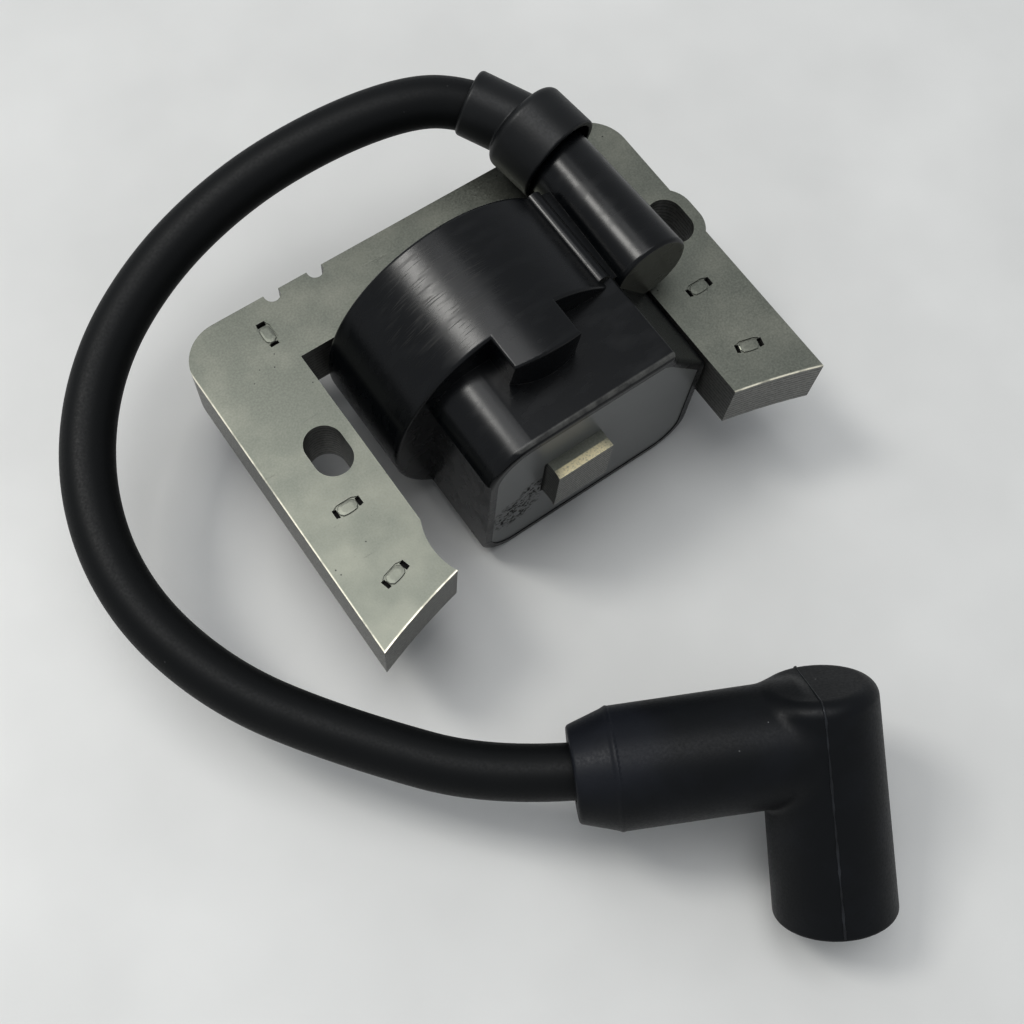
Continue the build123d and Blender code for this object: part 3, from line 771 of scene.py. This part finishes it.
def relaxed(corners: np.ndarray, faces: np.ndarray) -> np.ndarray:
    """Even out a quad mesh.

    Args:
        corners: its points.
        faces: its quads, as point numbers.

    Returns:
        The points, each moved halfway to its neighbours' mean.
    """
    total = np.zeros_like(corners)
    count = np.zeros((len(corners), 1))
    for first, second in ((0, 1), (1, 2), (2, 3), (3, 0)):
        for here, there in ((first, second), (second, first)):
            np.add.at(total, faces[:, here], corners[faces[:, there]])
            np.add.at(count, faces[:, here], 1.0)
    return corners + (total / np.maximum(count, 1.0) - corners) * 0.5


# ---------------------------------------------------------------- the studio
@dataclass(frozen=True)
class Lamp:
    """A soft rectangular light, aimed at the object."""

    name: str
    bearing: float
    height: float
    distance: float
    width: float
    length: float
    power: float
    colour: Colour = (1.0, 1.0, 1.0)

    def hang(self) -> None:
        """Hang the lamp, pointing at the object."""
        light = bpy.data.lights.new(self.name, "AREA")
        light.shape = "RECTANGLE"
        light.size = self.width
        light.size_y = self.length
        light.energy = self.power
        light.color = self.colour
        lamp = bpy.data.objects.new(self.name, light)
        turn, lift = math.radians(self.bearing), math.radians(self.height)
        flat = math.cos(lift)
        way = Vector((math.cos(turn) * flat, math.sin(turn) * flat, math.sin(lift)))
        lamp.location = way * self.distance
        lamp.rotation_euler = way.to_track_quat("Z", "Y").to_euler()
        bpy.context.scene.collection.objects.link(lamp)


@dataclass(frozen=True)
class Studio:
    """The pale table, the lights and the camera."""

    table: float = -13.0
    paper: Colour = (0.69, 0.69, 0.675)
    ambient: float = 0.6
    contrast: float = 0.8
    eye: Point = (-57.37, -82.40, 169.0)
    right: Point = (0.8125, -0.5802, 0.0565)
    up: Point = (0.5213, 0.7666, 0.375)
    lens: float = 46.4
    lamps: tuple[Lamp, ...] = (
        Lamp("window", 131.0, 56.0, 0.9, 0.19, 0.24, 2.5, (1.0, 0.985, 0.95)),
        Lamp("ceiling", 115.0, 82.0, 1.3, 0.80, 0.80, 5.7),
    )

    def stand_camera(self) -> None:
        """Stand the camera where the object is seen from."""
        data = bpy.data.cameras.new("camera")
        data.lens = self.lens
        data.sensor_width = 36.0
        data.clip_start = 0.01
        camera = bpy.data.objects.new("camera", data)
        right = Vector(self.right).normalized()
        up = (Vector(self.up) - right * Vector(self.up).dot(right)).normalized()
        back = right.cross(up)
        turn = Matrix((right, up, back)).transposed().to_4x4()
        camera.matrix_world = Matrix.Translation(metres(self.eye)) @ turn
        bpy.context.scene.collection.objects.link(camera)
        bpy.context.scene.camera = camera

    def lay_table(self) -> None:
        """Lay the pale table top under the object."""
        mesh = bpy.data.meshes.new("table")
        shell = bmesh.new()
        bmesh.ops.create_grid(shell, x_segments=8, y_segments=8, size=2.5)
        shell.to_mesh(mesh)
        shell.free()
        table = bpy.data.objects.new("table", mesh)
        table.location = (0.0, 0.0, self.table * MM)
        bpy.context.scene.collection.objects.link(table)
        mixer = Recipe("table_top", self.paper, 0.42, 0.0)
        cloud = mixer.grain(30.0, 3.0)
        shade = tuple(channel * 0.93 for channel in self.paper)
        mixer.colour(mixer.tint(mixer.span(cloud, 0.35, 0.7), shade, self.paper))
        mixer.emboss(mixer.grain(0.4, 3.0), 0.02, 0.4)
        dress(table, mixer.material)

    def light(self) -> None:
        """Hang the lamps and set the room's own light."""
        for lamp in self.lamps:
            lamp.hang()
        world = bpy.data.worlds.new("room")
        world.use_nodes = True
        room = world.node_tree.nodes["Background"]
        room.inputs["Color"].default_value = (0.93, 0.96, 1.0, 1.0)
        room.inputs["Strength"].default_value = self.ambient
        bpy.context.scene.world = world
        view = bpy.context.scene.view_settings
        view.view_transform = "Standard"
        view.gamma = self.contrast


# ---------------------------------------------------------------- the coil's sub-assemblies
@dataclass
class HighTensionLead:
    """The lead from the tower to the plug boot, with its conductor and spike."""

    nodes: dict[str, Thing]
    diameter: float = 7.2
    strand: float = 1.8
    stripped: float = 5.0
    length: float = 191.5
    tower_mouth: Point = (22.25, 6.0, 15.3)
    in_boot: float = 22.0
    last_corner: float = 39.3
    route: tuple[Point, ...] = (
        (22.25, -1.0, 15.3),
        (22.25, 5.0, 15.3),
        (20.2, 11.3, 16.3),
        (16.1, 16.9, 17.8),
        (9.6, 20.8, 18.7),
        (-2.8, 23.8, 17.3),
        (-17.5, 25.0, 14.2),
        (-33.0, 21.8, 11.2),
        (-46.7, 13.4, 9.4),
        (-56.2, 0.0, 7.7),
        (-59.4, -15.8, 6.0),
        (-55.4, -32.0, 4.6),
        (-46.2, -46.0, 3.7),
    )

    def lay(
        self, name: str, thickness: float, past: float, stuff: bpy.types.Material
    ) -> Thing:
        """Lay one layer of the lead along its route.

        Args:
            name: the piece's name.
            thickness: its diameter, in mm.
            past: how far it runs past the jacket's end, in mm.
            stuff: its material.

        Returns:
            A curve of one smooth spline.
        """
        last = from_crossing(SLEEVE_AXIS, self.last_corner)
        points = (*self.route, last, from_crossing(SLEEVE_AXIS, self.in_boot - past))
        curve = bpy.data.curves.new(name, "CURVE")
        curve.dimensions = "3D"
        curve.bevel_depth = thickness / 2 * MM
        curve.bevel_resolution = 10
        curve.use_fill_caps = True
        spline = curve.splines.new("NURBS")
        spline.points.add(len(points) - 1)
        for knot, point in zip(spline.points, points):
            knot.co = (*metres(point), 1.0)
        spline.order_u = 3
        spline.use_endpoint_u = True
        spline.resolution_u = 16
        layer = bpy.data.objects.new(name, curve)
        bpy.context.scene.collection.objects.link(layer)
        dress(layer, stuff)
        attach(layer, Body.MODULE.value)
        return layer

    def lay_jacket(self) -> Thing:
        """Lay the lead's rubber jacket."""
        jacket = self.lay("lead", self.diameter, 0.0, LEAD_RUBBER.mix())
        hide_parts("lead_jacket")
        return jacket

    def lay_strand(self) -> Thing:
        """Lay the copper conductor inside the jacket."""
        copper = COPPER.mix()
        strand = self.lay("lead_strand", self.strand, self.stripped, copper)
        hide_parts("lead_conductor")
        return strand

    def dress_metal(self) -> None:
        """Finish the spike, the link behind it and the ground strap."""
        brass = BRASS.mix()
        for name in ("tower_spike", "high_tension_link", "ground_strap"):
            dress(self.nodes[name], brass)


@dataclass
class LaminatedCore:
    """The E-shaped core: its sheets, and the staked marks that lock them together."""

    nodes: dict[str, Thing]
    top: float = 9.0
    stake: Point = (1.42, 0.86, 0.10)
    recess: float = 0.2
    marks: tuple[Point, ...] = (
        (-24.7, 5.45, 90.0),
        (-29.6, -22.2, 0.0),
        (-29.6, -33.4, 15.0),
        (29.8, -21.7, 0.0),
        (29.8, -33.0, -15.0),
        (24.7, 5.45, 90.0),
    )

    def stake_ring(self, shrink: float) -> list[tuple[float, float]]:
        """The outline of one stake in mm, drawn in by a share of its size."""
        half, wide, _ = self.stake
        corners = ((1.0, 0.35), (0.72, 0.9), (0.25, 1.0), (-0.25, 1.0), (-0.72, 0.9), (-1.0, 0.35))
        upper = [(x * half * shrink, y * wide * shrink) for x, y in corners]
        return upper + [(-x, -y) for x, y in upper]

    def make_stakes(self) -> Thing:
        """Build the domed stake in each interlock mark.

        Returns:
            One object that holds every stake.
        """
        steps = ((1.0, -self.recess), (1.0, -0.06), (0.93, -0.01), (0.6, 0.02))
        shell = bmesh.new()
        for x, y, turn in self.marks:
            spin = Matrix.Rotation(math.radians(turn), 4, "Z")
            place = Matrix.Translation(metres((x, y, self.top))) @ spin
            rings = []
            for shrink, rise in steps:
                outline = self.stake_ring(shrink)
                rings.append([shell.verts.new(place @ metres((*at, rise))) for at in outline])
            for lower, upper in zip(rings, rings[1:]):
                for n, vert in enumerate(lower):
                    m = (n + 1) % len(lower)
                    shell.faces.new((vert, lower[m], upper[m], upper[n]))
            shell.faces.new(rings[-1])
            shell.faces.new(rings[0][::-1])
        bmesh.ops.recalc_face_normals(shell, faces=shell.faces)
        mesh = bpy.data.meshes.new("interlock_stakes")
        shell.to_mesh(mesh)
        shell.free()
        stakes = bpy.data.objects.new("interlock_stakes", mesh)
        bpy.context.scene.collection.objects.link(stakes)
        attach(stakes, Body.MODULE.value)
        return stakes

    def finish(self) -> Thing:
        """Dress the sheets and add the stakes."""
        steel = CORE_STEEL.mix()
        for name in ("core_bottom_sheet", "core_stack", "core_top_sheet"):
            dress(self.nodes[name], steel)
        stakes = self.make_stakes()
        dress(stakes, steel)
        return stakes


@dataclass
class CoilCase:
    """The black case, its potting, and everything cast inside it."""

    nodes: dict[str, Thing]

    def finish(self) -> None:
        """Dress the case, the potting and the sealed parts."""
        dress(self.nodes["coil_case"], CASE_PLASTIC.mix())
        dress(self.nodes["potting"], EPOXY.mix())
        wire, nylon, package = WIRE.mix(), NYLON.mix(), PACKAGE.mix()
        for name in ("primary_winding", "secondary_winding", "charge_winding", "trigger_winding"):
            dress(self.nodes[name], wire)
        for name in ("primary_bobbin", "secondary_bobbin", "charge_bobbin"):
            dress(self.nodes[name], nylon)
        for name in ("thyristor", "diodes"):
            dress(self.nodes[name], package)
        dress(self.nodes["circuit_board"], LAMINATE.mix())
        dress(self.nodes["storage_capacitor"], FILM.mix())
        dress(self.nodes["trigger_resistor"], LACQUER.mix())


@dataclass
class SealBoot:
    """The rubber boot that seals the lead into the tower."""

    axis: Point = (-0.19, 0.97, 0.14)
    start: Point = (22.45, 3.0, 15.9)
    length: float = 7.9
    outer: float = 6.8
    inner: float = 5.95
    small_start: Point = (21.2, 10.2, 16.1)
    small_end: Point = (16.3, 16.8, 18.1)
    small_radius: float = 4.75
    lead_radius: float = 3.55

    def along(self, reach: float) -> Point:
        """A point on the skirt's axis, in mm."""
        return tuple(Vector(self.start) + Vector(self.axis).normalized() * reach)

    def make(self) -> Thing:
        """Cast the boot over its CAD solid."""
        beyond = Vector(self.small_end) * 1.3 - Vector(self.small_start) * 0.3
        small, roof = self.small_radius, self.along(self.length - 1.5)
        mould = Mould(
            bars=(
                Bar(self.start, self.along(self.length), self.outer, self.outer, 0.25, 1.3),
                Bar(self.along(6.0), self.small_end, small, small, 0.2, 0.6),
            ),
            cores=(
                Bar(self.along(-1.0), roof, self.inner, self.inner, 0.1, 0.3),
                Bar(self.along(4.0), tuple(beyond), self.lead_radius, self.lead_radius),
            ),
            melts=(0.4,),
            cell=0.22,
        )
        boot = mould.cast("tower_seal_boot")
        dress(boot, SEAL_RUBBER.mix())
        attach(boot, Body.MODULE.value)
        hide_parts("seal_boot")
        return boot


@dataclass
class PlugBoot:
    """The right-angle rubber boot at the lead's end, with its clip and crimp."""

    nodes: dict[str, Thing]
    radius: float = 7.5
    mouth_radius: float = 8.05
    sleeve_radius: float = 7.8
    root: float = 1.4
    root_rim: float = 1.5
    lap: float = 0.5
    above: float = 7.4
    below: float = 24.0
    sleeve: float = 31.5
    cone: float = 4.8
    mouth: float = 6.1
    bore: float = 5.2
    pocket: float = 4.05
    step: float = 9.0
    roof: float = 2.9
    lead_bore: float = 3.65
    flash: float = 0.21
    flash_offset: float = 1.0

    def make(self) -> Thing:
        """Cast the elbow over its CAD solid."""
        root = from_crossing(SLEEVE_AXIS, self.root)
        shoulder = from_crossing(SLEEVE_AXIS, self.sleeve - self.cone)
        lapped = from_crossing(SLEEVE_AXIS, self.sleeve - self.cone - self.lap)
        tip = from_crossing(SLEEVE_AXIS, self.sleeve)
        beyond = from_crossing(SLEEVE_AXIS, self.sleeve + 2.0)
        closed = from_crossing(BARREL_AXIS, -self.above)
        ceiling = from_crossing(BARREL_AXIS, -self.roof)
        inner = from_crossing(BARREL_AXIS, self.step)
        low = from_crossing(BARREL_AXIS, self.below)
        under = from_crossing(BARREL_AXIS, self.below + 2.0)
        wide = self.sleeve_radius
        mould = Mould(
            bars=(
                Bar(closed, low, self.radius, self.mouth_radius, 1.9, 0.45),
                Bar(root, shoulder, wide, wide, self.root_rim, self.lap),
                Bar(lapped, tip, wide, self.mouth, 0.0, 0.35),
            ),
            cores=(
                Bar(inner, under, self.bore, self.bore),
                Bar(ceiling, inner, self.pocket, self.pocket),
                Bar(CROSSING, beyond, self.lead_bore, self.lead_bore),
            ),
            melts=(1.0, 0.3),
            cell=0.3,
        )
        boot = mould.cast("plug_elbow")
        dress(boot, PLUG_RUBBER.mix())
        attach(boot, Body.BOOT.value)
        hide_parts("plug_boot")
        return boot

    def make_flash_line(self) -> Thing:
        """Build the thin parting line round the elbow.

        Returns:
            A mesh that follows the boot's outline in its parting plane.
        """
        down = Vector(BARREL_AXIS).normalized()
        across = Vector(SLEEVE_AXIS).normalized()
        side = down.cross(across).normalized()
        corner = 1.9
        half = math.sqrt(self.radius**2 - self.flash_offset**2)
        flare = self.mouth_radius - self.radius
        outline = []
        for sign in (-1.0, 1.0):
            bend = []
            for step in range(7):
                angle = math.radians(15.0 * step)
                out = half - corner + corner * math.cos(angle)
                rise = -self.above + corner - corner * math.sin(angle)
                bend.append((sign * out, rise))
            wall = []
            for step in range(28):
                share = 1.0 - step / 28
                rise = -self.above + corner + (self.below - 0.5 + self.above - corner) * share
                wall.append((sign * (half + flare * share), rise))
            outline.append([*wall, *bend])
        path = outline[0] + outline[1][::-1]
        start = Vector(CROSSING) + across * self.flash_offset
        curve = bpy.data.curves.new("boot_flash_line", "CURVE")
        curve.dimensions = "3D"
        curve.bevel_depth = self.flash * MM
        curve.bevel_resolution = 2
        spline = curve.splines.new("POLY")
        spline.points.add(len(path) - 1)
        for number, (knot, (out, rise)) in enumerate(zip(spline.points, path)):
            knot.co = (*metres(tuple(start + side * out + down * rise)), 1.0)
            knot.radius = 0.75 + 0.3 * math.sin(number * 2.3) + 0.2 * math.sin(number * 0.7)
        line = bpy.data.objects.new("boot_flash_line", curve)
        bpy.context.scene.collection.objects.link(line)
        dress(line, FLASH_RUBBER.mix())
        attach(line, Body.BOOT.value)
        return line

    def dress_metal(self) -> None:
        """Finish the clip and the crimp."""
        spring = SPRING.mix()
        for name in ("plug_clip", "lead_crimp"):
            dress(self.nodes[name], spring)


def corners(box: "tuple[Vector, Vector]") -> list[list[float]]:
    """A box's two corners as plain lists of numbers."""
    return [[float(value) for value in corner] for corner in box]


def main() -> None:
    """Load the frame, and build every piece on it."""
    logging.basicConfig(level=logging.INFO, format="%(message)s")
    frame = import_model()
    nodes = frame["nodes"]

    studio = Studio()
    studio.stand_camera()
    lead_maker = HighTensionLead(nodes)
    lead = lead_maker.lay_jacket()
    report(lead, "one spline from the tower to the plug boot")
    strand = lead_maker.lay_strand()
    report(strand, "conductor inside the lead")
    plug_maker = PlugBoot(nodes)
    elbow = plug_maker.make()
    report(elbow, "rubber elbow, cast over its CAD solid")
    flash = plug_maker.make_flash_line()
    report(flash, "parting line of the elbow")
    plug_maker.dress_metal()
    lead_maker.dress_metal()

    seal = SealBoot().make()
    report(seal, "seal boot on the tower")
    stakes = LaminatedCore(nodes).finish()
    report(stakes, "stakes in the interlock marks")
    CoilCase(nodes).finish()
    report(nodes["coil_case"], "case, potting and sealed parts dressed")

    studio.lay_table()
    studio.light()


if __name__ == "__main__":
    main()
